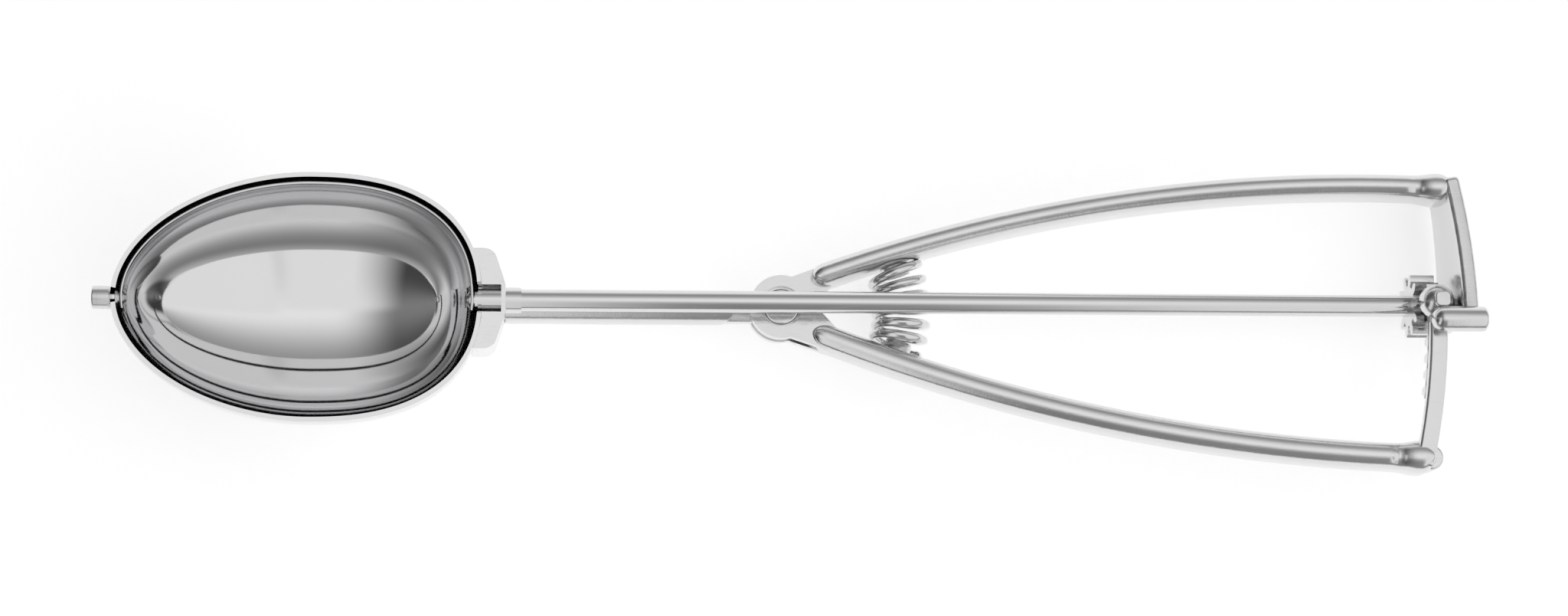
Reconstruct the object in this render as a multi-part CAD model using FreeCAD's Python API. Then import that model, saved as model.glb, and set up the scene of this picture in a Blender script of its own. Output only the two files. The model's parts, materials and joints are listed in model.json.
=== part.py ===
import FreeCAD, Part
import math
import os

# Lever ice cream scoop with an egg-shaped bowl. Every piece is modelled in the tool's own frame:
# X along the drive rod (bowl at -X, handles at +X), Z out of the bowl's mouth, origin on the rod
# axis above the handle pivot. At the end all pieces are laid down together as the tool lies on a
# table, on three points. Millimetres.

V = FreeCAD.Vector
X_AXIS = V(1, 0, 0)
Y_AXIS = V(0, 1, 0)
Z_AXIS = V(0, 0, 1)
ORIGIN = V(0, 0, 0)

# Bowl
bowl_wide_x = -86.0
bowl_half_width = 22.8
bowl_front_length = 35.4
bowl_heel_length = 31.0
bowl_front_power = 1.9
bowl_heel_power = 2.4
bowl_wall = 1.0
rim_height = 3.2
rim_lip = 0.35
rim_lip_height = 1.2

# Scraper strip
scraper_gap = 0.35
scraper_thick = 0.9
scraper_width = 6.2
scraper_overhang = 2.6
tenon_r = 1.15
rivet_head_r = 1.7
rivet_head_h = 0.5
lug_gap = 0.01

# Drive rod and front pin
rod_r = 2.0
run_gap = 0.05
front_pin_out = 3.2
front_pin_r = 2.07
front_journal_r = 1.6
front_pin_gap = 0.12
collar_r = 2.35
collar_length = 2.8

# Heel yoke
yoke_length = 4.2
yoke_wrap = 6.2
yoke_end_wall = 0.8
yoke_half_width = 9.2
yoke_top = 2.3
yoke_bottom = -8.6
yoke_slot = 5.0
yoke_corner_r = 2.4

# Shank, pivot ears and tongue
shank_width = 6.0
shank_top = -3.6
shank_bottom = -8.6
shank_end_x = -8.6
ear_r = 5.9
ear_top = -4.8
ear_thick = 1.9
tongue_thick = 2.6
ear_gap = 0.05
tongue_r = 5.7
rivet_r = 2.5
rivet_face_r = 3.35
counterbore_r = 3.85
counterbore_depth = 1.0
washer_r = 4.4
washer_thick = 0.6
rivet_tail_h = 1.0

# Handle arms
arm_slope_deg = 6.14
arm_start_x = 8.2
arm_start_top = -3.5
arm_depth = 8.5
ridge_rise = 1.7
ridge_inset = 0.3
arm_edge_r = 1.1
fixed_arm_width = 4.2
fixed_arm_arc_r = 296.0
fixed_arm_apex = (103.0, 21.9)
fixed_ridge_stop = 9.3
moving_arm_width = 4.7
moving_arm_arc_r = 330.0
moving_arm_apex = (131.0, 29.3)
moving_ridge_stop = 7.4

# Gearing
module = 0.983
pinion_teeth = 10
pressure_deg = 20.0
pinion_lead = 1.7
pinion_length = 4.5
pinion_addendum = 0.98
pinion_dedendum = 1.2
rack_addendum = 0.5
rack_dedendum = 1.15
backlash = 0.2
pinion_pin_r = 0.6
rack_teeth_before = 1
rack_teeth_after = 6

# Moving handle's end bar, which carries the rack and runs between the pinion and the hook finger
rack_bar_inner_r = 118.9
rack_bar_width = 3.4
rack_bar_thick = 2.2
dome_r = 3.3
knob_side = 2.9
knob_rise = 1.5
knob_corner_r = 0.9

# Fixed handle's end bar, with the rod's tail bearing and the hook finger
end_bar_gap = 2.0
end_bar_width = 3.0
end_bar_top_corner = 9.2
end_bar_top_tail = 11.4
end_bar_bottom_corner = -3.2
end_bar_bottom_tail = -6.2
end_bar_tail_y = -4.4
foot_relief = 0.7
finger_r = 2.35
finger_gap = 0.15
finger_y = -4.1
finger_reach = 10.3
stop_gap = 0.05
bush_r = 2.9
bush_flange_r = 3.1
tail_out = 0.6

# Return spring and its pegs
spring_x = 21.5
spring_outer_r = 5.5
spring_wire_r = 0.85
spring_turns = 6
spring_rod_gap = 0.25
peg_r = 3.0
peg_height = 2.4
peg_stem_r = 1.0
peg_stem_length = 1.6
seat_gap = 0.01
spot_depth = 0.35
spring_end_gap = 0.75

# Travel
lever_travel_deg = 6.7


def cylinder(radius, length, base, axis=Z_AXIS):
    """A plain cylinder from its base point along an axis."""
    return Part.makeCylinder(radius, length, base, axis)


def box(x0, x1, y0, y1, z0, z1):
    """A box between two corners."""
    return Part.makeBox(x1 - x0, y1 - y0, z1 - z0, V(x0, y0, z0))


def prism(points, direction):
    """A straight prism on a closed polygon."""
    return Part.Face(Part.makePolygon(points + [points[0]])).extrude(direction)


def ring_band(inner_r, outer_r, start_deg, end_deg, z0, z1):
    """An arc-shaped bar round the handle pivot, between two radii, angles and heights."""
    sweep = end_deg - start_deg
    outer = Part.makeCylinder(outer_r, z1 - z0, V(0, 0, z0), Z_AXIS, sweep)
    inner = Part.makeCylinder(inner_r, z1 - z0 + 2, V(0, 0, z0 - 1), Z_AXIS, 360)
    band = outer.cut(inner)
    band.rotate(ORIGIN, Z_AXIS, start_deg)
    return band


def polar_deg(radius, y):
    """The angle about the pivot at which a circle of this radius reaches this Y."""
    return math.degrees(math.asin(y / radius))


def outward(shape):
    """The same solid, turned the right way out if it came inside out."""
    return shape.reversed() if shape.Volume < 0 else shape


def fillet(shape, radius, wanted):
    """Rounds the edges that a test picks."""
    edges = [e for e in shape.Edges if wanted(e)]
    return shape.makeFillet(radius, edges) if edges else shape


# Bowl of revolution: each half of its outline is a quarter of a superellipse about the widest place
def outline_point(inset, side, t):
    """A point of the bowl's half outline: t is 0 at the pole and a right angle at the widest place."""
    length, power = (bowl_front_length, bowl_front_power) if side < 0 else (bowl_heel_length, bowl_heel_power)
    along = (length - inset) * max(math.cos(t), 0.0) ** (2 / power)
    return V(bowl_wide_x + side * along, 0, (bowl_half_width - inset) * math.sin(t) ** (2 / power))


def outline_x(inset, side, radius):
    """X where the half outline reaches a radius near its pole."""
    power = bowl_front_power if side < 0 else bowl_heel_power
    return outline_point(inset, side, math.asin((radius / (bowl_half_width - inset)) ** (power / 2))).x


def bowl_outline(inset, hole_r):
    """The bowl's half outline moved inwards by inset, from the front hole's edge to the heel hole's."""
    steps = 8
    points = []
    for side, power in ((-1, bowl_front_power), (1, bowl_heel_power)):
        first = math.asin((hole_r / (bowl_half_width - inset)) ** (power / 2))
        angles = [first + (math.pi / 2 - first) * i / steps for i in range(steps + 1)]
        quarter = [outline_point(inset, side, t) for t in angles]
        points += quarter if side < 0 else quarter[-2::-1]
    curve = Part.BSplineCurve()
    curve.interpolate(points)
    return curve.toShape(), points[0], points[-1]


def bowl_pole(inset, side):
    """X of the outline's pole, side -1 at the front and 1 at the heel."""
    length = bowl_front_length if side < 0 else bowl_heel_length
    return bowl_wide_x + side * (length - inset)


def bowl_layer(inset, thick, hole_r):
    """The shell between an inset outline and a deeper one, a full turn round the rod's axis."""
    outer, outer_front, outer_heel = bowl_outline(inset, hole_r)
    inner, inner_front, inner_heel = bowl_outline(inset + thick, hole_r)
    ends = [Part.makeLine(outer_heel, inner_heel), Part.makeLine(inner_front, outer_front)]
    face = Part.Face(Part.Wire(Part.__sortEdges__([outer, ends[0], inner, ends[1]])))
    face.rotate(ORIGIN, X_AXIS, 180)
    return outward(face.revolve(ORIGIN, X_AXIS, 360))


heel_x = bowl_pole(0, 1)
tip_x = bowl_pole(0, -1)
above_rim = box(tip_x - 5, heel_x + 5, -30, 30, rim_height, 30)
pole_hole_r = 1.5


def make_bowl():
    """The pressed bowl, a little deeper than half, with a thickened lip, a pin hole and a rod notch."""
    shell = bowl_layer(0, bowl_wall, pole_hole_r).cut(above_rim)
    lip = bowl_layer(-rim_lip, rim_lip + bowl_wall / 2, pole_hole_r)
    lip = lip.common(box(tip_x - 5, heel_x - 2.5, -30, 30, rim_height - rim_lip_height, rim_height))
    hole = cylinder(front_journal_r + run_gap, 4, V(tip_x - 1, 0, 0), X_AXIS)
    notch_r = yoke_slot / 2
    notch = cylinder(notch_r, 6, V(heel_x - 4, 0, 0), X_AXIS)
    notch = notch.fuse(box(heel_x - 4, heel_x + 2, -notch_r, notch_r, 0, rim_height + 1))
    return shell.fuse(lip).cut(hole).cut(notch)


# Scraper: a band of the bowl's inner form, whose two ends cross the axis as lugs
strip_inset = bowl_wall + scraper_gap
lug_front_x = bowl_pole(strip_inset, -1)
lug_heel_x = bowl_pole(strip_inset, 1)


def make_scraper():
    """The thin sprung strip at rest along the bowl's upper side, with a tenon hole in each lug."""
    half = scraper_width / 2
    shell = bowl_layer(strip_inset, scraper_thick, tenon_r)
    return shell.common(box(tip_x, heel_x, -scraper_overhang, 30, -half, half))


def lug_seats(side):
    """X of the two planes that hold a scraper lug: the shoulder outside it and the peened head inside it."""
    shoulder = outline_x(strip_inset, side, tenon_r) + side * lug_gap
    head = outline_x(strip_inset + scraper_thick, side, rivet_head_r) - side * lug_gap
    return shoulder, head


def make_front_pin():
    """The pin through the bowl's tip: head outside, journal in the bowl's hole, peened tenon in the lug."""
    shoulder, head_x = lug_seats(-1)
    body_start = tip_x - front_pin_out
    body = cylinder(front_pin_r, front_pin_out - front_pin_gap, V(body_start, 0, 0), X_AXIS)
    body = fillet(body, 0.3, lambda e: abs(e.BoundBox.XMax - body_start) < 0.01)
    journal_start = tip_x - front_pin_gap
    journal = cylinder(front_journal_r, shoulder - journal_start, V(journal_start, 0, 0), X_AXIS)
    tenon = cylinder(tenon_r - lug_gap, head_x - shoulder, V(shoulder, 0, 0), X_AXIS)
    head = Part.makeCone(rivet_head_r, tenon_r - 0.2, rivet_head_h, V(head_x, 0, 0), X_AXIS)
    return body.fuse(journal).fuse(tenon).fuse(head).removeSplitter()


# Gear geometry: the rack is a piece of a crown wheel about the pivot, with a whole number of teeth
pitch_r = module * pinion_teeth / 2
pinion_start_x = rack_bar_inner_r - pinion_lead
crown_teeth = round(2 * (rack_bar_inner_r + rack_bar_width / 2) / module)
crown_r = module * crown_teeth / 2
tooth_pitch_deg = 360.0 / crown_teeth
gear_ratio = crown_teeth / pinion_teeth
rack_tip_z = pitch_r - rack_addendum * module
rack_root_z = pitch_r + rack_dedendum * module
rack_bar_top = rack_root_z + rack_bar_thick
rack_bar_outer_r = rack_bar_inner_r + rack_bar_width
end_bar_inner_r = rack_bar_outer_r + end_bar_gap
end_bar_outer_r = end_bar_inner_r + end_bar_width
tail_x = end_bar_outer_r + tail_out


def make_rod():
    """The long drive rod, from the scraper's heel lug to the tail bearing."""
    shoulder, head_x = lug_seats(1)
    rod = cylinder(rod_r, tail_x - shoulder, V(shoulder, 0, 0), X_AXIS)
    rod = fillet(rod, 0.35, lambda e: abs(e.BoundBox.XMin - tail_x) < 0.01)
    tenon = cylinder(tenon_r - lug_gap, shoulder - head_x, V(head_x, 0, 0), X_AXIS)
    head = Part.makeCone(tenon_r - 0.2, rivet_head_r, rivet_head_h, V(head_x - rivet_head_h, 0, 0), X_AXIS)
    return rod.fuse(tenon).fuse(head).removeSplitter().cut(pinion_pin_shape())


def pinion_pin_shape():
    """The cross pin that locks the pinion to the rod, along Y in two tooth gaps."""
    length = 2 * (pitch_r - pinion_dedendum * module) - 0.2
    return cylinder(pinion_pin_r, length, V(pinion_start_x + pinion_length / 2, -length / 2, 0), Y_AXIS)


def make_collar():
    """The stop collar just behind the yoke, which keeps the rod from sliding into the bowl."""
    start = heel_x + yoke_length + run_gap
    ring = cylinder(collar_r, collar_length, V(start, 0, 0), X_AXIS)
    return ring.cut(cylinder(rod_r, collar_length + 2, V(start - 1, 0, 0), X_AXIS))


def involute_flank(base_r, from_r, to_r, mirror, turn_deg):
    """One tooth flank as a curve through five involute points, turned to its place."""
    points = []
    for i in range(5):
        radius = from_r + (to_r - from_r) * i / 4
        roll = math.sqrt(max((radius / base_r) ** 2 - 1, 0))
        angle = (roll - math.atan(roll)) * mirror + math.radians(turn_deg)
        points.append(V(0, radius * math.sin(angle), radius * math.cos(angle)))
    return points


def make_pinion():
    """The ten-tooth pinion with true involute flanks, a tooth pointing straight up."""
    tip_r = pitch_r + pinion_addendum * module
    root_r = pitch_r - pinion_dedendum * module
    base_r = pitch_r * math.cos(math.radians(pressure_deg))
    at_pitch = math.tan(math.radians(pressure_deg)) - math.radians(pressure_deg)
    half_tooth = 90.0 / pinion_teeth + math.degrees(at_pitch)
    start = V(pinion_start_x, 0, 0)
    gear = cylinder(root_r, pinion_length, start, X_AXIS)
    for i in range(pinion_teeth):
        turn = 360.0 * i / pinion_teeth
        left = involute_flank(base_r, base_r, tip_r, 1, turn - half_tooth)
        right = involute_flank(base_r, base_r, tip_r, -1, turn + half_tooth)
        spread = math.radians(turn - half_tooth)
        foot_left = V(0, (root_r - 0.3) * math.sin(spread), (root_r - 0.3) * math.cos(spread))
        spread = math.radians(turn + half_tooth)
        foot_right = V(0, (root_r - 0.3) * math.sin(spread), (root_r - 0.3) * math.cos(spread))
        crest_angle = math.radians(turn)
        crest = V(0, tip_r * math.sin(crest_angle), tip_r * math.cos(crest_angle))
        flank_left = Part.BSplineCurve()
        flank_left.interpolate(left)
        flank_right = Part.BSplineCurve()
        flank_right.interpolate(right)
        edges = [Part.makeLine(foot_left, left[0]), flank_left.toShape()]
        edges += [Part.Arc(left[-1], crest, right[-1]).toShape(), flank_right.toShape()]
        edges += [Part.makeLine(right[0], foot_right), Part.makeLine(foot_right, foot_left)]
        tooth = Part.Face(Part.Wire(Part.__sortEdges__(edges))).extrude(V(pinion_length, 0, 0))
        tooth.translate(start)
        gear = gear.fuse(tooth)
    gear = gear.removeSplitter()
    gear = gear.cut(cylinder(rod_r, pinion_length + 2, start - V(1, 0, 0), X_AXIS))
    return gear.cut(pinion_pin_shape())


def crown_tooth(angle_deg):
    """One radial rack tooth, a wedge that widens with its distance from the pivot."""
    flank = math.tan(math.radians(pressure_deg))
    sections = []
    for radius in (rack_bar_inner_r, rack_bar_outer_r):
        half_pitch = math.pi * module / 4 * radius / crown_r - backlash / 2
        tip_half = half_pitch - flank * (pitch_r - rack_tip_z)
        root_half = half_pitch + flank * (rack_root_z - pitch_r)
        corners = [V(radius, -root_half, rack_root_z), V(radius, -tip_half, rack_tip_z)]
        corners += [V(radius, tip_half, rack_tip_z), V(radius, root_half, rack_root_z)]
        sections.append(Part.makePolygon(corners + [corners[0]]))
    tooth = Part.makeLoft(sections, True, True)
    tooth.rotate(ORIGIN, Z_AXIS, angle_deg)
    return tooth


def make_rack():
    """The toothed crown strip brazed under the moving handle's end bar, teeth facing the pinion."""
    start = -rack_teeth_before * tooth_pitch_deg
    end = rack_teeth_after * tooth_pitch_deg
    strip = ring_band(rack_bar_inner_r, rack_bar_outer_r, start, end, rack_root_z, rack_bar_low)
    for i in range(-rack_teeth_before, rack_teeth_after):
        strip = strip.fuse(crown_tooth((i + 0.5) * tooth_pitch_deg))
    return strip.removeSplitter()


# Handle arms: a section with a half-round ridge, carried along a level arc and then tipped to its slope
def arm_section(width, ridge):
    """The arm's cross-section about its centre line at Y = 0, with the ridge crest at Z = 0."""
    half = width / 2
    top = -ridge_rise
    bottom = -arm_depth
    r = arm_edge_r
    c = r * (1 - math.sqrt(0.5))
    if ridge:
        rh = half - ridge_inset
        a = V(0, -rh, top - 0.5)
        b = V(0, -rh, top)
        d = V(0, rh, top)
        e = V(0, rh, top - 0.5)
        edges = [Part.makeLine(a, b), Part.Arc(b, V(0, 0, 0), d).toShape()]
        edges += [Part.makeLine(d, e), Part.makeLine(e, a)]
        return Part.Wire(edges)
    s = 0.5
    p = [V(0, -half + r, bottom), V(0, -half, bottom + r), V(0, -half, top - s), V(0, -half + s, top)]
    q = [V(0, half - s, top), V(0, half, top - s), V(0, half, bottom + r), V(0, half - r, bottom)]
    k = s * (1 - math.sqrt(0.5))
    edges = [Part.Arc(p[0], V(0, -half + c, bottom + c), p[1]).toShape(), Part.makeLine(p[1], p[2])]
    edges += [Part.Arc(p[2], V(0, -half + k, top - k), p[3]).toShape(), Part.makeLine(p[3], q[0])]
    edges += [Part.Arc(q[0], V(0, half - k, top - k), q[1]).toShape(), Part.makeLine(q[1], q[2])]
    edges += [Part.Arc(q[2], V(0, half - c, bottom + c), q[3]).toShape(), Part.makeLine(q[3], p[0])]
    return Part.Wire(edges)


def half_section(wire):
    """The half of a cross-section face on its +Y side, to be spun into a rounded end."""
    return Part.Face(wire).common(Part.makePlane(40, 40, V(0, 0, -30), X_AXIS, Y_AXIS))


def arm_piece(width, arc_r, apex, start_x, end_x, ridge):
    """A length of arm with spun round ends, still level, following an arc that bulges to +Y."""
    centre = V(apex[0], apex[1] - arc_r, 0)
    start_deg = math.degrees(math.asin((apex[0] - start_x) / arc_r))
    end_deg = math.degrees(math.asin((apex[0] - end_x) / arc_r))
    face = Part.Face(arm_section(width, ridge))
    face.translate(V(apex[0], apex[1], 0))
    face.rotate(centre, Z_AXIS, end_deg)
    piece = outward(face.revolve(centre, Z_AXIS, start_deg - end_deg))
    for angle, own_turn in ((start_deg, 0), (end_deg, 180)):
        cap = outward(Part.Face(half_wire(width, ridge)).revolve(ORIGIN, Z_AXIS, 180))
        cap.rotate(ORIGIN, Z_AXIS, own_turn)
        cap.translate(V(apex[0], apex[1], 0))
        cap.rotate(centre, Z_AXIS, angle)
        piece = piece.fuse(cap)
    return piece


def half_wire(width, ridge):
    """The +Y half of the arm's cross-section, closed along the centre line."""
    half = width / 2
    top = -ridge_rise
    bottom = -arm_depth
    r = arm_edge_r
    c = r * (1 - math.sqrt(0.5))
    if ridge:
        rh = half - ridge_inset
        crest_r = (rh * rh + ridge_rise * ridge_rise) / (2 * ridge_rise)
        mid_y = rh / 2
        mid_z = -crest_r + math.sqrt(crest_r * crest_r - mid_y * mid_y)
        a = V(0, 0, 0)
        b = V(0, rh, top)
        d = V(0, rh, top - 0.5)
        e = V(0, 0, top - 0.5)
        edges = [Part.Arc(a, V(0, mid_y, mid_z), b).toShape(), Part.makeLine(b, d)]
        return Part.Wire(edges + [Part.makeLine(d, e), Part.makeLine(e, a)])
    s = 0.5
    k = s * (1 - math.sqrt(0.5))
    p = [V(0, 0, top), V(0, half - s, top), V(0, half, top - s), V(0, half, bottom + r)]
    p += [V(0, half - r, bottom), V(0, 0, bottom)]
    edges = [Part.makeLine(p[0], p[1]), Part.Arc(p[1], V(0, half - k, top - k), p[2]).toShape()]
    edges += [Part.makeLine(p[2], p[3]), Part.Arc(p[3], V(0, half - c, bottom + c), p[4]).toShape()]
    edges += [Part.makeLine(p[4], p[5]), Part.makeLine(p[5], p[0])]
    return Part.Wire(edges)


def tip_arm(shape):
    """Tips a level arm to its slope about its start, crest at its start height."""
    shape.translate(V(0, 0, arm_start_top))
    shape.rotate(V(arm_start_x, 0, arm_start_top), Y_AXIS, -arm_slope_deg)
    return shape


def make_arm(width, arc_r, apex, ridge_end_x, end_x):
    """The whole arm: its body to the corner, and its ridge, which stops short of the corner."""
    body = arm_piece(width, arc_r, apex, arm_start_x, end_x, False)
    ridge = arm_piece(width, arc_r, apex, arm_start_x, ridge_end_x, True)
    return tip_arm(body.fuse(ridge))


def plate(outline, z0, z1):
    """A flat plate with a polygon outline."""
    return prism([V(x, y, z0) for x, y in outline], V(0, 0, z1 - z0))


tongue_top = ear_top - ear_thick - ear_gap
tongue_bottom = tongue_top - tongue_thick
back_ear_top = tongue_bottom - ear_gap
back_ear_bottom = back_ear_top - ear_thick
finger_z = rack_bar_top + finger_gap + finger_r
finger_start_x = end_bar_outer_r + 1.2 - finger_reach
spring_z = -rod_r - spring_rod_gap - spring_outer_r
moving_arm_end_x = rack_bar_inner_r - 0.2
rack_bar_low = rack_root_z + (rack_root_z - pitch_r) * 0.4
dome_x = (rack_bar_inner_r + rack_bar_outer_r) / 2
dome_top = rack_bar_low + dome_r
knob_y = finger_y + finger_r + stop_gap + knob_side / 2


def arm_centre_y(arc_r, apex, x):
    """Distance of an arm's centre line from the rod's plane at this X."""
    return apex[1] - arc_r + math.sqrt(arc_r ** 2 - (apex[0] - x) ** 2)


def arm_direction(arc_r, apex, x):
    """The arm's angle from the rod's direction at this X, in degrees."""
    return math.degrees(math.asin((apex[0] - x) / arc_r))


def make_root(width, arc_r, apex, z0, z1):
    """The flat root plate from the pivot's disc to the arm's start."""
    x = arm_start_x + 1.5
    y = arm_centre_y(arc_r, apex, x)
    along = math.radians(arm_direction(arc_r, apex, x))
    across = V(-math.sin(along), math.cos(along), 0)
    end = V(x, y, 0)
    half = width / 2 - 0.3
    away = V(x, y, 0).normalize()
    side = V(-away.y, away.x, 0)
    a = side * (ear_r - 0.9)
    b = end + across * half
    c = end - across * half
    d = side * -(ear_r - 0.9)
    return plate([(p.x, p.y) for p in (a, b, c, d)], z0, z1)


def peg_frame(arc_r, apex, width):
    """Where the spring's peg stands on an arm's inner side: the foot point and the inward direction."""
    x = spring_x
    for _ in range(4):
        along = math.radians(arm_direction(arc_r, apex, x))
        inward = V(math.sin(along), -math.cos(along), 0)
        x = spring_x - inward.x * width / 2
    foot = V(x, arm_centre_y(arc_r, apex, x), spring_z) + inward * (width / 2 - spot_depth)
    return foot, inward


def make_peg(foot, inward):
    """A turned peg: a blunt cone that centres the spring, with a stem pressed into the arm."""
    cone = Part.makeCone(peg_r, peg_r - 0.6, peg_height, foot + inward * seat_gap, inward)
    stem = cylinder(peg_stem_r, peg_stem_length + seat_gap + 0.2, foot - inward * peg_stem_length, inward)
    return cone.fuse(stem).removeSplitter()


def mirrored(shape):
    """The mirror image across the rod's upright plane."""
    return shape.mirror(ORIGIN, Y_AXIS)


def mirrored_vector(vector):
    """A vector on the other side of the rod's upright plane."""
    return V(vector.x, -vector.y, vector.z)


fixed_peg = peg_frame(fixed_arm_arc_r, fixed_arm_apex, fixed_arm_width)
moving_foot, moving_inward = peg_frame(moving_arm_arc_r, moving_arm_apex, moving_arm_width)
moving_peg = (mirrored_vector(moving_foot), mirrored_vector(moving_inward))


def peg_hole(peg):
    """The blind hole for a peg's stem, with a spot face for its shoulder."""
    foot, inward = peg
    hole = cylinder(peg_stem_r, peg_stem_length + 3, foot - inward * peg_stem_length, inward)
    return hole.fuse(cylinder(peg_r + 0.3, 3, foot, inward))


def make_fixed_handle():
    """The casting that carries everything: shank, tongue, upper arm, deep end bar and hook finger."""
    half = shank_width / 2
    crest = shank_top - (shank_top - shank_bottom) * 0.45
    start = heel_x + yoke_length
    corners = [V(start, -half, shank_bottom), V(start, -half, crest), V(start, half, crest), V(start, half, shank_bottom)]
    edges = [Part.makeLine(corners[0], corners[1])]
    edges += [Part.Arc(corners[1], V(start, 0, shank_top), corners[2]).toShape()]
    edges += [Part.makeLine(corners[2], corners[3]), Part.makeLine(corners[3], corners[0])]
    shank = Part.Face(Part.Wire(edges)).extrude(V(shank_end_x - start, 0, 0))
    nose = cylinder(half, 20, V(shank_end_x - half, 0, shank_bottom - 5))
    nose = nose.fuse(box(start - 1, shank_end_x - half, -half - 1, half + 1, shank_bottom - 5, shank_top + 5))
    shank = shank.common(nose)
    neck = box(shank_end_x - half - 2, 0, -half + 0.4, half - 0.4, tongue_bottom, tongue_top)
    tongue = cylinder(tongue_r, tongue_thick, V(0, 0, tongue_bottom))
    root = make_root(fixed_arm_width, fixed_arm_arc_r, fixed_arm_apex, tongue_bottom, tongue_top)
    corner_x = end_bar_inner_r - 3.2
    arm = make_arm(fixed_arm_width, fixed_arm_arc_r, fixed_arm_apex, end_bar_inner_r - fixed_ridge_stop, corner_x)
    casting = shank.fuse(neck).fuse(tongue).fuse(root).fuse(arm).fuse(make_end_bar()).fuse(make_finger())
    casting = casting.removeSplitter()
    casting = casting.cut(cylinder(rivet_r + run_gap, 10, V(0, 0, tongue_bottom - 3)))
    casting = casting.cut(cylinder(bush_r, 12, V(end_bar_inner_r - 4, 0, 0), X_AXIS))
    return casting.cut(peg_hole(fixed_peg))


def make_end_bar():
    """The deep bar across the fixed handle's end: it carries the rod's tail and the hook finger."""
    corner_y = arm_centre_y(fixed_arm_arc_r, fixed_arm_apex, end_bar_inner_r) + fixed_arm_width / 2
    start = polar_deg(end_bar_outer_r, end_bar_tail_y)
    end = polar_deg(end_bar_outer_r, corner_y)
    band = ring_band(end_bar_inner_r, end_bar_outer_r, start, end, end_bar_bottom_tail - 2, end_bar_top_tail + 2)
    side = [V(0, end_bar_tail_y - 1, end_bar_bottom_tail), V(0, end_bar_tail_y + 2.4, end_bar_bottom_tail)]
    side += [V(0, 1.0, end_bar_bottom_tail + foot_relief), V(0, corner_y - 4.5, end_bar_bottom_corner + foot_relief)]
    side += [V(0, corner_y - 2.5, end_bar_bottom_corner), V(0, corner_y + 1, end_bar_bottom_corner)]
    side += [V(0, corner_y + 1, end_bar_top_corner), V(0, end_bar_tail_y - 1, end_bar_top_tail)]
    bar = band.common(prism(side, V(end_bar_outer_r + 5, 0, 0)))
    return fillet(bar, 0.9, lambda e: e.Length > 2)


def make_finger():
    """The hook finger over the moving bar: a stubby cylinder with a ball end."""
    start = V(finger_start_x + finger_r, finger_y, finger_z)
    length = finger_reach - finger_r
    rod = cylinder(finger_r, length, start, X_AXIS)
    rod = fillet(rod, 0.8, lambda e: e.BoundBox.XMin > finger_start_x + finger_reach - 0.1)
    return rod.fuse(Part.makeSphere(finger_r, start))


def make_moving_handle():
    """The squeezed casting: two ears round the tongue, lower arm, and the end bar that carries the rack."""
    corner_y = arm_centre_y(moving_arm_arc_r, moving_arm_apex, moving_arm_end_x) + moving_arm_width / 2
    lever = make_arm(moving_arm_width, moving_arm_arc_r, moving_arm_apex, rack_bar_inner_r - moving_ridge_stop, moving_arm_end_x)
    lever = lever.fuse(make_rack_bar(corner_y - 0.2)).fuse(make_dome())
    for top in (ear_top, back_ear_top):
        ear = cylinder(ear_r, ear_thick, V(0, 0, top - ear_thick))
        root = make_root(moving_arm_width, moving_arm_arc_r, moving_arm_apex, top - ear_thick, top)
        lever = lever.fuse(ear.fuse(root).removeSplitter())
    lever = mirrored(lever.removeSplitter())
    lever = lever.cut(cylinder(rivet_r, 20, V(0, 0, back_ear_bottom - 3)))
    lever = lever.cut(cylinder(counterbore_r, counterbore_depth + 1, V(0, 0, ear_top - counterbore_depth)))
    return lever.cut(peg_hole(moving_peg)).cut(knob_hole())


def make_rack_bar(corner_y):
    """The end bar with its post down to the arm at the corner, mirrored together with the arm."""
    start = polar_deg(rack_bar_inner_r, -1.5 - knob_y)
    end = polar_deg(rack_bar_outer_r, corner_y)
    foot_z = rack_bar_top - arm_depth + 0.4
    band = ring_band(rack_bar_inner_r, rack_bar_outer_r, start, end, foot_z, rack_bar_top)
    inner_end = corner_y - moving_arm_width - 0.6
    space = box(rack_bar_inner_r - 15, rack_bar_outer_r + 5, -20, inner_end, foot_z - 2, rack_bar_low)
    return fillet(band.cut(space), 0.6, lambda e: e.Length > 2)


def make_dome():
    """The half-round knuckle that ends the bar."""
    ball = Part.makeSphere(dome_r, V(dome_x, -knob_y, rack_bar_low))
    return ball.common(box(dome_x - 9, dome_x + 9, -knob_y - 9, -knob_y + 9, rack_bar_low, rack_bar_low + 9))


def make_knob():
    """The stop knob: a rounded square head with a stem pressed into the dome."""
    half = knob_side / 2
    top = dome_top + knob_rise - 0.5
    head = box(dome_x - half, dome_x + half, knob_y - half, knob_y + half, dome_top + 0.02, top)
    head = fillet(head, knob_corner_r, lambda e: e.BoundBox.ZLength > 0.5)
    head = fillet(head, 0.35, lambda e: e.BoundBox.ZMin > top - 0.01)
    stem = cylinder(0.8, 1.9, V(dome_x, knob_y, dome_top - 1.8))
    return head.fuse(stem).removeSplitter()


def knob_hole():
    """The blind hole for the stop knob's stem."""
    return cylinder(0.8, 4, V(dome_x, knob_y, dome_top - 1.8))


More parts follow.
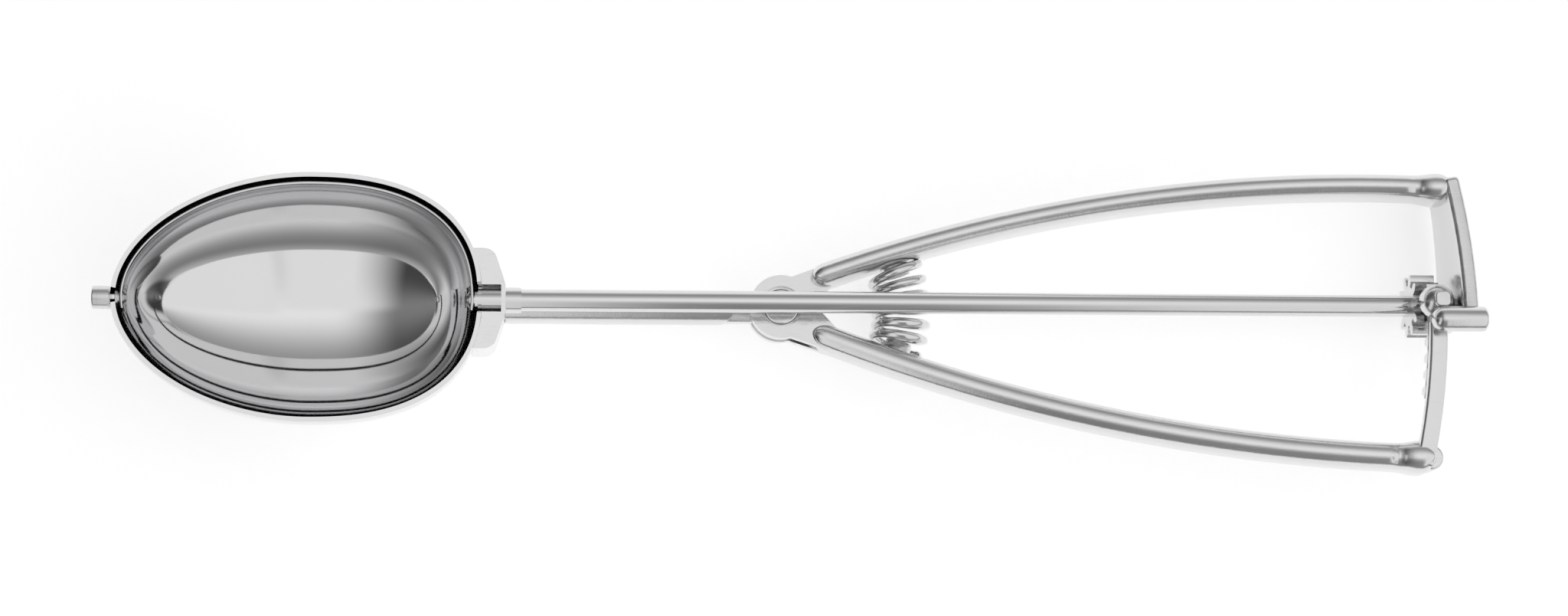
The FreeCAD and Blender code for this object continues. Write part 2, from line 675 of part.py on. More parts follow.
def make_yoke():
    """The heel bracket: a saddle on the bowl's outside, with an open rod slot and a bearing in its end."""
    half = yoke_half_width
    end = heel_x + yoke_length
    waist = end - 0.5
    outline = [(heel_x - 9, -half), (end - 2.2, -half), (waist, -4.2), (end, -2.5), (end, 2.5), (waist, 4.2)]
    outline += [(end - 2.2, half), (heel_x - 9, half)]
    block = plate(outline, yoke_bottom, yoke_top)
    block = fillet(block, yoke_corner_r, lambda e: e.BoundBox.ZLength > 5 and e.BoundBox.XMin > heel_x and abs(e.BoundBox.YMin) > 8)
    saddle = block.cut(bowl_layer(0, yoke_wrap + 2, pole_hole_r)).cut(box(heel_x - 20, heel_x - yoke_wrap, -20, 20, -20, 20))
    half_slot = yoke_slot / 2
    slot_end = end - yoke_end_wall
    slot = cylinder(half_slot, slot_end - heel_x + 8, V(heel_x - 8, 0, 0), X_AXIS)
    slot = slot.fuse(box(heel_x - 8, slot_end, -half_slot, half_slot, 0, yoke_top + 1))
    bore = cylinder(rod_r + run_gap, 4, V(end - 2, 0, 0), X_AXIS)
    return saddle.cut(slot).cut(bore)


def make_rivet():
    """The pivot rivet: flush domed head in the front ear, shank, and a peened tail under the washer."""
    head_bottom = ear_top - counterbore_depth
    tail_top = back_ear_bottom - washer_thick
    shank = cylinder(rivet_r, head_bottom - tail_top, V(0, 0, tail_top))
    head = cylinder(rivet_face_r, counterbore_depth - 0.1, V(0, 0, head_bottom))
    head = fillet(head, 0.4, lambda e: e.BoundBox.ZMin > ear_top - 0.2)
    tail = cylinder(rivet_face_r, rivet_tail_h, V(0, 0, tail_top - rivet_tail_h))
    tail = fillet(tail, 0.7, lambda e: e.BoundBox.ZMax < tail_top - rivet_tail_h + 0.01)
    return shank.fuse(head).fuse(tail).removeSplitter()


def make_washer():
    """The flat washer between the back ear and the rivet's tail."""
    base = V(0, 0, back_ear_bottom - washer_thick)
    return cylinder(washer_r, washer_thick, base).cut(cylinder(rivet_r, 3, base - V(0, 0, 1)))


def make_bush():
    """The flanged bush in the deep end bar, in which the rod's tail turns."""
    length = end_bar_width + 0.4
    start = end_bar_inner_r - 0.5
    sleeve = cylinder(bush_r, length, V(start, 0, 0), X_AXIS)
    return sleeve.cut(cylinder(rod_r + run_gap, length + 2, V(start - 1, 0, 0), X_AXIS))


def make_spring():
    """The return spring: an open coil on a bowed centre line, square to both arms at its ends."""
    top_foot, top_in = fixed_peg
    low_foot, low_in = moving_peg
    lift = spring_wire_r + spring_end_gap
    top = top_foot + top_in * lift
    low = low_foot + low_in * lift
    across = math.atan2(top_in.x, -top_in.y)
    across_low = math.atan2(low_in.x, low_in.y)
    bend = across + across_low
    radius = (top - low).Length / (2 * math.sin(bend / 2))
    tilt = (across - across_low) / 2
    chord_mid = (top + low) * 0.5
    chord = (top - low).normalize()
    outward = V(chord.y, -chord.x, 0)
    centre = chord_mid - outward * (radius * math.cos(bend / 2))
    coil_r = spring_outer_r - spring_wire_r
    per_turn = 12
    count = spring_turns * per_turn
    points = []
    for i in range(count + 1):
        share = i / count
        angle = (share - 0.5) * bend
        radial = outward * math.cos(angle) + chord * math.sin(angle)
        turn = 2 * math.pi * spring_turns * share
        points.append(centre + radial * (radius + coil_r * math.cos(turn)) + V(0, 0, coil_r * math.sin(turn)))
    path = Part.BSplineCurve()
    path.interpolate(points)
    wire = Part.Wire(path.toShape())
    start_tangent = path.tangent(path.FirstParameter)[0]
    ring = Part.Wire(Part.makeCircle(spring_wire_r, points[0], start_tangent))
    return wire.makePipeShell([ring], True, True)


def lowest(shape, up, low_y, high_y):
    """The lowest vertex of a shape's mesh along a direction, among those between two Y values."""
    vertices = [p for p in shape.tessellate(0.05)[0] if low_y <= p.y <= high_y]
    return min(vertices, key=lambda p: p.dot(up))


def lying_up(bowl, handle):
    """The direction that is up when the tool lies on its bowl, its tail bearing and its upper corner."""
    up = V(-0.1, -0.17, 1).normalize()
    for _ in range(8):
        a = lowest(bowl, up, -30, 30)
        b = lowest(handle, up, -8, 0)
        c = lowest(handle, up, 12, 40)
        up = (b - a).cross(c - a).normalize()
        up = up if up.z > 0 else up * -1
    return up


def lay_down(shapes, up):
    """One placement for all pieces: up becomes +Z, the rod points along +X, bottom centre at the origin."""
    turn = FreeCAD.Rotation(up, Z_AXIS)
    along = turn.multVec(X_AXIS)
    level = FreeCAD.Rotation(V(along.x, along.y, 0), X_AXIS)
    turn = level.multiply(turn)
    for shape in shapes.values():
        shape.Placement = FreeCAD.Placement(V(0, 0, 0), turn)
    points = [p for shape in shapes.values() for p in shape.tessellate(0.05)[0]]
    middle = [-(min(values) + max(values)) / 2 for values in ([p.x for p in points], [p.y for p in points])]
    shift = V(middle[0], middle[1], -min(p.z for p in points))
    for shape in shapes.values():
        shape.Placement = FreeCAD.Placement(shift, turn)
    return FreeCAD.Placement(shift, turn)


def main():
    """Builds every piece, lays the tool down and writes one file per piece."""
    os.makedirs("parts", exist_ok=True)
    pieces = {
        "bowl_shell": make_bowl(),
        "heel_yoke": make_yoke(),
        "fixed_handle": make_fixed_handle(),
        "tail_bush": make_bush(),
        "upper_spring_peg": make_peg(*fixed_peg),
        "moving_handle": make_moving_handle(),
        "gear_rack": mirrored(make_rack()),
        "stop_knob": make_knob(),
        "pivot_rivet": make_rivet(),
        "rivet_washer": make_washer(),
        "lower_spring_peg": make_peg(*moving_peg),
        "return_spring": make_spring(),
        "drive_rod": make_rod(),
        "rod_collar": make_collar(),
        "pinion": make_pinion(),
        "pinion_pin": pinion_pin_shape(),
        "scraper_strip": make_scraper(),
        "front_pin": make_front_pin(),
    }
    up = lying_up(pieces["bowl_shell"], pieces["fixed_handle"])
    placement = lay_down(pieces, up)
    for name, shape in pieces.items():
        solids = shape.Solids
        print(name, "solids", len(solids), "valid", shape.isValid(), "volume", round(shape.Volume, 2))
        shape.exportStep("parts/" + name + ".step")
    for label, point in (("pivot", ORIGIN), ("pin_end", V(tip_x - front_pin_out, 0, 0)), ("bowl_centre", V(bowl_wide_x, 0, 0))):
        print(label, [round(c, 5) for c in placement.multVec(point)])
    for label, direction in (("lever_axis", Z_AXIS), ("rod_axis", X_AXIS), ("side_axis", Y_AXIS)):
        print(label, [round(c, 7) for c in placement.Rotation.multVec(direction)])
    print("gear ratio", gear_ratio)


main()
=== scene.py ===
import json
import math

import bpy
import numpy as np
from mathutils import Matrix, Vector


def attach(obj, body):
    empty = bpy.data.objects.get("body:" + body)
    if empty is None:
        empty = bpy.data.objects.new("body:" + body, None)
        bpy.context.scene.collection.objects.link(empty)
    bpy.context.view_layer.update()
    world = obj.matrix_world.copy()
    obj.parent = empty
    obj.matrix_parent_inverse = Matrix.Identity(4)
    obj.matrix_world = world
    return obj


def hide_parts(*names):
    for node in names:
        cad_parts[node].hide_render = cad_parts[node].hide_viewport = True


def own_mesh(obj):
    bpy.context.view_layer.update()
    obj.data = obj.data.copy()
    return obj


bl_info = {
    "name": "Lever Scoop Looks",
    "version": (1, 0, 0),
    "blender": (4, 5, 0),
    "location": "View3D > Sidebar > Scoop",
    "description": "Dresses the packed lever scoop: bowl, scraper, arms, spring, metal finishes and studio",
    "category": "Object",
}

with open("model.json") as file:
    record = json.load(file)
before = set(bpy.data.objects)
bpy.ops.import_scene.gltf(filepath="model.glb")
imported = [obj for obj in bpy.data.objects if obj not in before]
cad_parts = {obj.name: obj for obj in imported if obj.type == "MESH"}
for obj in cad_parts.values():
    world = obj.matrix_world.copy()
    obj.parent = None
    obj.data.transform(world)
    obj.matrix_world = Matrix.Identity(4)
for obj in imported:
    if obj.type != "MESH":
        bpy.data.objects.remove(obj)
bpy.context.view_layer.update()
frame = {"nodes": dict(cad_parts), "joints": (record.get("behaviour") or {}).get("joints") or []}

# The tool's own frame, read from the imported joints: X along the rod, Z out of the bowl's mouth, and
# the origin on the rod's axis above the handle pivot.
joints = {j["name"]: j for j in frame["joints"]}
ROD_AXIS = Vector(joints["rod_turn"]["axis"]).normalized()
MOUTH_AXIS = Vector(joints["lever_hinge"]["axis"]).normalized()
SIDE_AXIS = MOUTH_AXIS.cross(ROD_AXIS)
PIVOT = Vector(joints["lever_hinge"]["pos_m"])
TOOL = Matrix((ROD_AXIS, SIDE_AXIS, MOUTH_AXIS)).transposed()


def to_row(points):
    """Points of the tool's frame, in metres, carried into the row frame: pivot plus the three axes."""
    return np.asarray(points, float) @ np.array(TOOL).T + np.array(PIVOT)


# Sizes and colours that a user would change
class BowlSizes(bpy.types.PropertyGroup):
    """Sizes of the bowl, measured in the tool's frame."""
    wide_x: bpy.props.FloatProperty(name="Widest Place", description="X of the bowl's widest section",
                                    default=-0.086, unit="LENGTH", precision=4)
    half_width: bpy.props.FloatProperty(name="Half Width", description="Radius of the widest section",
                                        default=0.0228, unit="LENGTH", precision=4)
    front_length: bpy.props.FloatProperty(name="Front Length",
                                          description="From the widest section to the front pole",
                                          default=0.0354, unit="LENGTH", precision=4)
    heel_length: bpy.props.FloatProperty(name="Heel Length",
                                         description="From the widest section to the heel pole",
                                         default=0.031, unit="LENGTH", precision=4)
    front_power: bpy.props.FloatProperty(name="Front Power",
                                         description="Superellipse power of the front half", default=1.9)
    heel_power: bpy.props.FloatProperty(name="Heel Power",
                                        description="Superellipse power of the heel half", default=2.4)
    wall: bpy.props.FloatProperty(name="Wall", description="Thickness of the pressed sheet",
                                  default=0.0007, unit="LENGTH", precision=4)
    rim: bpy.props.FloatProperty(name="Rim Height", description="Height of the rim above the rod's axis",
                                 default=0.0032, unit="LENGTH", precision=4)
    lip: bpy.props.FloatProperty(name="Lip", description="How far the rolled lip stands out",
                                 default=0.00012, unit="LENGTH", precision=5)
    lip_height: bpy.props.FloatProperty(name="Lip Height", description="Height of the rolled lip",
                                        default=0.0012, unit="LENGTH", precision=4)
    pin_hole: bpy.props.FloatProperty(name="Pin Hole", description="Radius of the hole for the front pin",
                                      default=0.00165, unit="LENGTH", precision=5)
    notch: bpy.props.FloatProperty(name="Rod Notch", description="Half width of the open notch for the rod",
                                   default=0.0025, unit="LENGTH", precision=4)


def length(name, description, default):
    """A length setting in metres."""
    return bpy.props.FloatProperty(name=name, description=description, default=default, unit="LENGTH",
                                   precision=5)


class StripSizes(bpy.types.PropertyGroup):
    """Sizes of the scraper strip."""
    width: length("Width", "Width of the strip", 0.0062)
    thick: length("Thickness", "Thickness of the strip", 0.0005)
    inset: length("Inset", "Depth of its outer face under the bowl's outside", 0.0015)
    overhang: length("Overhang", "How far the hooks reach past the rod's plane", 0.0026)


class SpringSizes(bpy.types.PropertyGroup):
    """Sizes of the return spring."""
    coil: length("Coil Radius", "Outer radius of the coils", 0.0055)
    wire: length("Wire Radius", "Radius of the wire", 0.00085)
    turns: bpy.props.FloatProperty(name="Turns", description="Number of coils", default=6.0)
    place: length("Place", "Distance of the spring's axis from the pivot", 0.0227)
    height: length("Height", "Height of the spring's axis", -0.00775)
    half_length: length("Half Length", "Half the distance between the spring's ends", 0.0072)
    keep: bpy.props.FloatProperty(name="Keep", description="Share of the length that is left when squeezed",
                                  default=0.77)


class FixedArmSizes(bpy.types.PropertyGroup):
    """The upper arm's level arc, in the tool's frame."""
    width: length("Width", "Width of the arm", 0.0042)
    arc: length("Arc", "Radius of the arm's arc", 0.296)
    apex_x: length("Apex X", "Where the arc runs along the rod", 0.103)
    apex_y: length("Apex Y", "The arc's greatest distance from the rod", 0.0219)
    end: length("End", "Where the arm meets its end bar", 0.1222)


class MovingArmSizes(bpy.types.PropertyGroup):
    """The lower arm's level arc, in the tool's frame mirrored across the rod."""
    width: length("Width", "Width of the arm", 0.0047)
    arc: length("Arc", "Radius of the arm's arc", 0.330)
    apex_x: length("Apex X", "Where the arc runs along the rod", 0.131)
    apex_y: length("Apex Y", "The arc's greatest distance from the rod", 0.0293)
    end: length("End", "Where the arm meets its end bar", 0.1168)


class ArmSkinSizes(bpy.types.PropertyGroup):
    """What both arms share."""
    start: length("Start", "X of the arms' start", 0.0082)
    start_top: length("Start Top", "Height of the crest at the start", -0.0035)
    depth: length("Depth", "Depth of the arm under its crest", 0.0085)
    slope: bpy.props.FloatProperty(name="Slope", description="How far the arms rise toward the end",
                                   default=math.radians(6.14), subtype="ANGLE")
    cover: length("Cover", "How far the skin stands over the casting", 0.00012)
    crown: length("Crown", "Height of the rounded upper part", 0.0032)
    nose: length("Nose", "Length that a nose adds to half the width", 0.0005)
    hump_back: length("Hump Place", "Distance of the corner's hump from the arm's end", 0.0002)
    hump_length: length("Hump Length", "Length of the corner's hump", 0.0024)
    hump_side: length("Hump Width", "How far the hump swells on each side", 0.0006)
    hump_rise: length("Hump Rise", "How far the hump rises", 0.0005)
    dimple_back: length("Dimple Place", "Distance of the dimple from the arm's end", 0.0040)
    dimple_length: length("Dimple Length", "Length of the dimple", 0.0009)
    dimple_depth: length("Dimple Depth", "Depth of the dimple in the crest", 0.0005)


class FinishColours(bpy.types.PropertyGroup):
    """Base colours of the metals."""
    polished: bpy.props.FloatVectorProperty(name="Polished Bowl", description="Mirror-polished sheet",
                                            subtype="COLOR", size=3, min=0, max=1,
                                            default=(0.78, 0.78, 0.785))
    satin: bpy.props.FloatVectorProperty(name="Satin Plate", description="Satin plating of the yoke",
                                         subtype="COLOR", size=3, min=0, max=1, default=(0.93, 0.93, 0.93))
    cast: bpy.props.FloatVectorProperty(name="Cast Handles", description="Plated castings", subtype="COLOR",
                                        size=3, min=0, max=1, default=(0.80, 0.80, 0.805))
    drawn: bpy.props.FloatVectorProperty(name="Drawn Rod", description="Bright drawn rod", subtype="COLOR",
                                         size=3, min=0, max=1, default=(0.76, 0.76, 0.765))
    turned: bpy.props.FloatVectorProperty(name="Turned Parts", description="Turned pins, pegs and rivet",
                                          subtype="COLOR", size=3, min=0, max=1,
                                          default=(0.74, 0.74, 0.745))
    gear: bpy.props.FloatVectorProperty(name="Gear Steel", description="Cut gear teeth", subtype="COLOR",
                                        size=3, min=0, max=1, default=(0.82, 0.82, 0.825))
    wire: bpy.props.FloatVectorProperty(name="Spring Wire", description="Hard drawn wire", subtype="COLOR",
                                        size=3, min=0, max=1, default=(0.80, 0.80, 0.80))


class StudioSettings(bpy.types.PropertyGroup):
    """Camera, floor and light."""
    eye: bpy.props.FloatVectorProperty(name="Camera Place", description="Camera position in the tool's frame",
                                       size=3, unit="LENGTH", precision=4, default=(-0.0517, -0.0910, 0.5371))
    target: bpy.props.FloatVectorProperty(name="Camera Target",
                                          description="Point that the camera looks at, in the tool's frame",
                                          size=3, unit="LENGTH", precision=4, default=(0.0, -0.0011, 0.0))
    roll: bpy.props.FloatProperty(name="Camera Roll", description="Turn about the line of sight",
                                  default=math.radians(0.38), subtype="ANGLE")
    lens: bpy.props.FloatProperty(name="Lens", description="Focal length on a 36 mm sensor", default=68.55)
    floor: bpy.props.FloatVectorProperty(name="Floor", description="Floor colour", subtype="COLOR", size=3,
                                         min=0, max=1, default=(0.92, 0.92, 0.92))
    floor_glow: bpy.props.FloatProperty(name="Floor Glow",
                                        description="Lift that makes the lit floor white", default=0.56)
    sky: bpy.props.FloatProperty(name="Sky", description="Brightness of the light strip overhead",
                                 default=1.0)
    strip_near: bpy.props.FloatProperty(name="Strip Near",
                                        description="Fall-off of the strip to the moving arm's side",
                                        default=0.40, subtype="ANGLE")
    strip_far: bpy.props.FloatProperty(name="Strip Far",
                                       description="Fall-off of the strip to the fixed arm's side",
                                       default=0.60, subtype="ANGLE")
    dim: bpy.props.FloatProperty(name="Dim", description="Brightness away from the strip", default=0.27)
    window: bpy.props.FloatProperty(name="Window", description="Added low on the fixed arm's side",
                                    default=0.43)
    side_panel: bpy.props.FloatProperty(name="Side Panel",
                                        description="Brightness beyond the handles", default=0.90)
    bowl_card: bpy.props.FloatProperty(name="Bowl Card",
                                       description="Brightness of the bowl's card", default=0.90)


# Meshes: points closer than a seam's width are joined, and edges under the smooth angle are shaded smooth
SEAM = 0.000002
SMOOTH_ANGLE = math.radians(32)


def new_piece(name, points, faces, body, sharp_deg=35.0):
    """A mesh object at the origin from row-frame points and a list of faces, riding on a body."""
    mesh = bpy.data.meshes.new(name)
    mesh.from_pydata([tuple(p) for p in points], [], [tuple(f) for f in faces])
    mesh.validate()
    mesh.shade_smooth()
    mesh.set_sharp_from_angle(angle=math.radians(sharp_deg))
    piece = bpy.data.objects.new(name, mesh)
    bpy.context.scene.collection.objects.link(piece)
    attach(piece, body)
    return piece


def grid_faces(index, flip=False):
    """Quads over a 2-D array of vertex numbers, turned over when flip is set."""
    quads = np.stack([index[:-1, :-1], index[1:, :-1], index[1:, 1:], index[:-1, 1:]], axis=-1).reshape(-1, 4)
    return quads[:, ::-1] if flip else quads


def smooth_nodes():
    """The node tree that joins a CAD node's loose triangles and shades all but its sharp edges smooth."""
    tree = bpy.data.node_groups.get("smooth_shading")
    if tree:
        return tree
    tree = bpy.data.node_groups.new("smooth_shading", "GeometryNodeTree")
    tree.interface.new_socket("Geometry", in_out="INPUT", socket_type="NodeSocketGeometry")
    tree.interface.new_socket("Geometry", in_out="OUTPUT", socket_type="NodeSocketGeometry")
    start = tree.nodes.new("NodeGroupInput")
    end = tree.nodes.new("NodeGroupOutput")
    merge = tree.nodes.new("GeometryNodeMergeByDistance")
    merge.inputs["Distance"].default_value = SEAM
    faces = tree.nodes.new("GeometryNodeSetShadeSmooth")
    faces.domain = "FACE"
    edges = tree.nodes.new("GeometryNodeSetShadeSmooth")
    edges.domain = "EDGE"
    edges.inputs["Shade Smooth"].default_value = False
    angle = tree.nodes.new("GeometryNodeInputMeshEdgeAngle")
    over = tree.nodes.new("ShaderNodeMath")
    over.operation = "GREATER_THAN"
    over.inputs[1].default_value = SMOOTH_ANGLE
    link = tree.links.new
    link(start.outputs[0], merge.inputs["Geometry"])
    link(merge.outputs["Geometry"], faces.inputs["Geometry"])
    link(faces.outputs["Geometry"], edges.inputs["Geometry"])
    link(angle.outputs["Unsigned Angle"], over.inputs[0])
    link(over.outputs[0], edges.inputs["Selection"])
    link(edges.outputs["Geometry"], end.inputs[0])
    return tree


# Shared effects
def effect(name, inputs, outputs):
    """An empty shader node group with named float or vector inputs and named outputs."""
    tree = bpy.data.node_groups.new(name, "ShaderNodeTree")
    for label, kind, value in inputs:
        socket = tree.interface.new_socket(label, in_out="INPUT", socket_type="NodeSocket" + kind)
        socket.default_value = value
    for label, kind in outputs:
        tree.interface.new_socket(label, in_out="OUTPUT", socket_type="NodeSocket" + kind)
    return tree, tree.nodes.new("NodeGroupInput"), tree.nodes.new("NodeGroupOutput")


def math_node(tree, operation, first, second=None):
    """A Math node fed by sockets or plain numbers; gives its output socket."""
    node = tree.nodes.new("ShaderNodeMath")
    node.operation = operation
    for slot, value in enumerate((first, second)):
        if value is None:
            continue
        if isinstance(value, (int, float)):
            node.inputs[slot].default_value = value
        else:
            tree.links.new(value, node.inputs[slot])
    return node.outputs[0]


def metal_grain():
    """Cast and plated skin: fine grain and broader ripples as one height, and cloudy patches as a mask."""
    tree, start, end = effect("metal_grain", [("Vector", "Vector", (0, 0, 0)), ("Fine", "Float", 2600.0),
                                              ("Broad", "Float", 240.0), ("Clouds", "Float", 60.0)],
                              [("Height", "Float"), ("Patches", "Float")])
    link = tree.links.new
    fine_share = 0.35
    parts = []
    for label, detail in (("Fine", 3.0), ("Broad", 2.0), ("Clouds", 4.0)):
        noise = tree.nodes.new("ShaderNodeTexNoise")
        noise.inputs["Detail"].default_value = detail
        link(start.outputs["Vector"], noise.inputs["Vector"])
        link(start.outputs[label], noise.inputs["Scale"])
        parts.append(noise.outputs["Fac"])
    height = math_node(tree, "ADD", math_node(tree, "MULTIPLY", parts[0], fine_share), parts[1])
    link(height, end.inputs["Height"])
    link(parts[2], end.inputs["Patches"])
    return tree


def polish_lines():
    """Polishing or drawing marks: noise stretched along one axis, as a height and as a mask."""
    tree, start, end = effect("polish_lines", [("Vector", "Vector", (0, 0, 0)),
                                               ("Stretch", "Vector", (20.0, 4000.0, 4000.0))],
                              [("Height", "Float"), ("Marks", "Float")])
    link = tree.links.new
    scale = tree.nodes.new("ShaderNodeVectorMath")
    scale.operation = "MULTIPLY"
    link(start.outputs["Vector"], scale.inputs[0])
    link(start.outputs["Stretch"], scale.inputs[1])
    fine = tree.nodes.new("ShaderNodeTexNoise")
    fine.inputs["Scale"].default_value = 1.0
    fine.inputs["Detail"].default_value = 3.0
    link(scale.outputs[0], fine.inputs["Vector"])
    ramp = tree.nodes.new("ShaderNodeMapRange")
    faint, strong = 0.56, 0.72
    ramp.inputs["From Min"].default_value = faint
    ramp.inputs["From Max"].default_value = strong
    link(fine.outputs["Fac"], ramp.inputs["Value"])
    link(fine.outputs["Fac"], end.inputs["Height"])
    link(ramp.outputs["Result"], end.inputs["Marks"])
    return tree


def shared(name, maker):
    """The shared effect of that name, made on first use."""
    return bpy.data.node_groups.get(name) or maker()


def metal(name, colour, roughness, grain=0.0, lines=0.0, patches=0.04, stretch=(20.0, 4000.0, 4000.0)):
    """A bare metal: a base colour with faint cloudy patches, roughness broken up by marks, and a bump."""
    material = bpy.data.materials.new(name)
    material.use_nodes = True
    tree = material.node_tree
    link = tree.links.new
    shader = tree.nodes["Principled BSDF"]
    shader.inputs["Metallic"].default_value = 1.0
    place = tree.nodes.new("ShaderNodeTexCoord")
    skin = tree.nodes.new("ShaderNodeGroup")
    skin.node_tree = shared("metal_grain", metal_grain)
    marks = tree.nodes.new("ShaderNodeGroup")
    marks.node_tree = shared("polish_lines", polish_lines)
    marks.inputs["Stretch"].default_value = stretch
    link(place.outputs["Object"], skin.inputs["Vector"])
    link(place.outputs["Object"], marks.inputs["Vector"])
    tint = tree.nodes.new("ShaderNodeMix")
    tint.data_type = "RGBA"
    tint.inputs["A"].default_value = (*[c * (1 - 2 * patches) for c in colour], 1)
    tint.inputs["B"].default_value = (*colour, 1)
    link(skin.outputs["Patches"], tint.inputs["Factor"])
    link(tint.outputs["Result"], shader.inputs["Base Color"])
    plain, marked, cloudy = 0.75, 0.5, 0.4
    rough = math_node(tree, "ADD", math_node(tree, "MULTIPLY", marks.outputs["Marks"], roughness * marked),
                      math_node(tree, "MULTIPLY", skin.outputs["Patches"], roughness * cloudy))
    link(math_node(tree, "ADD", rough, roughness * plain), shader.inputs["Roughness"])
    height = math_node(tree, "ADD", math_node(tree, "MULTIPLY", skin.outputs["Height"], grain),
                       math_node(tree, "MULTIPLY", marks.outputs["Height"], lines))
    bump = tree.nodes.new("ShaderNodeBump")
    bump.inputs["Strength"].default_value = 1.0
    bump.inputs["Distance"].default_value = 1.0
    link(height, bump.inputs["Height"])
    link(bump.outputs["Normal"], shader.inputs["Normal"])
    return material


def finish(nodes, material):
    """Gives CAD nodes a material in every slot and smooth shading through the shared modifier."""
    for name in nodes:
        node = frame["nodes"][name]
        for slot in node.material_slots:
            slot.material = material
        if not node.material_slots:
            node.data.materials.append(material)
        modifier = node.modifiers.new("smooth_shading", "NODES")
        modifier.node_group = smooth_nodes()


# Bowl
def outline_arrays(sizes, inset, first_r, last_r, steps):
    """Half outline of the bowl as X and radius: each side of the widest place is a quarter of a superellipse,
    X = length cos(t)^(2/power) and radius = half_width sin(t)^(2/power), both moved inwards by inset."""
    half = sizes.half_width - inset
    parts = []
    for side, length, power, hole in ((-1, sizes.front_length, sizes.front_power, first_r),
                                      (1, sizes.heel_length, sizes.heel_power, last_r)):
        t = np.linspace(math.asin((hole / half) ** (power / 2)), math.pi / 2, steps)
        x = sizes.wide_x + side * (length - inset) * np.cos(t).clip(0) ** (2 / power)
        r = half * np.sin(t) ** (2 / power)
        parts.append((x, r))
    (xa, ra), (xb, rb) = parts
    return np.concatenate([xa, xb[-2::-1]]), np.concatenate([ra, rb[-2::-1]])


def bowl_sheet(sizes, inset, turns):
    """One side of the bowl's sheet as a grid, with its normals: the outline's X and radius r turned about the
    rod, (Y, Z) = r (cos a, -sin a), from rim to rim through the bottom. The turn a starts where the radius
    meets the rim's height, or the notch's side near the heel."""
    half_stations = 70
    x, r = outline_arrays(sizes, inset, sizes.pin_hole, sizes.notch, half_stations)
    heel = x > sizes.wide_x
    over = np.arcsin((sizes.rim / r).clip(0, 1))
    beside = np.where(heel, np.arccos((sizes.notch / r).clip(0, 1)), math.pi / 2)
    start = np.minimum(over, beside)[:, None]
    angle = -start + (math.pi + 2 * start) * turns[None, :]
    along = np.gradient(x), np.gradient(r)
    size = np.hypot(*along)
    normal_x = (-along[1] / size)[:, None] * np.ones_like(angle)
    normal_r = (along[0] / size)[:, None]
    across = r[:, None]
    grid = np.stack([x[:, None] * np.ones_like(angle), across * np.cos(angle), -across * np.sin(angle)], -1)
    normal = np.stack([normal_x, normal_r * np.cos(angle), -normal_r * np.sin(angle)], -1)
    return grid, normal, np.degrees(start[:, 0]) < 89.9


class SCOOP_OT_bowl(bpy.types.Operator):
    """The mirror-smooth bowl: outer and inner sheets of revolution with a rolled lip, pin hole and notch."""
    bl_idname = "scoop.bowl"
    bl_label = "Bowl"
    turn_steps = 141
    lip_blend = 0.0004
    lip_stop = 0.0035
    lip_fade = 0.002

    def execute(self, context):
        sizes = context.scene.scoop_bowl
        sweep = np.linspace(0, math.pi, self.turn_steps)
        turns = 0.5 - 0.5 * np.cos(sweep) * (1 - 0.25 * np.sin(sweep) ** 2)
        outer, out_normal, open_side = bowl_sheet(sizes, 0.0, turns)
        inner, _, _ = bowl_sheet(sizes, sizes.wall, turns)
        rise = ((outer[..., 2] - sizes.rim + sizes.lip_height) / self.lip_blend).clip(0, 1)
        heel_pole = sizes.wide_x + sizes.heel_length
        fade = ((heel_pole - self.lip_stop - outer[..., 0]) / self.lip_fade).clip(0, 1)
        outer = outer + out_normal * (sizes.lip * rise * rise * (3 - 2 * rise) * fade)[..., None]
        rows, columns = outer.shape[:2]
        a = np.arange(rows * columns).reshape(rows, columns)
        b = a + rows * columns
        faces = [grid_faces(a, True), grid_faces(b)]
        for column, flip in ((0, True), (-1, False)):
            wall = np.stack([a[:, column], b[:, column]], 1)
            keep = open_side[:-1] & open_side[1:]
            faces.append(grid_faces(wall, flip)[keep])
        faces.append(grid_faces(np.stack([a[0], b[0]], 1)))
        faces.append(grid_faces(np.stack([a[-1], b[-1]], 1), True))
        points = to_row(np.concatenate([outer.reshape(-1, 3), inner.reshape(-1, 3)]))
        bowl = new_piece("bowl_surface", points, np.concatenate(faces), "frame", sharp_deg=40)
        weld = bowl.modifiers.new("close_seam", "WELD")
        weld.merge_threshold = SEAM
        polished = context.scene.scoop_colours.polished
        bowl.data.materials.append(metal("polished_bowl", polished, 0.05, patches=0.02))
        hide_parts("bowl_shell")
        return {"FINISHED"}


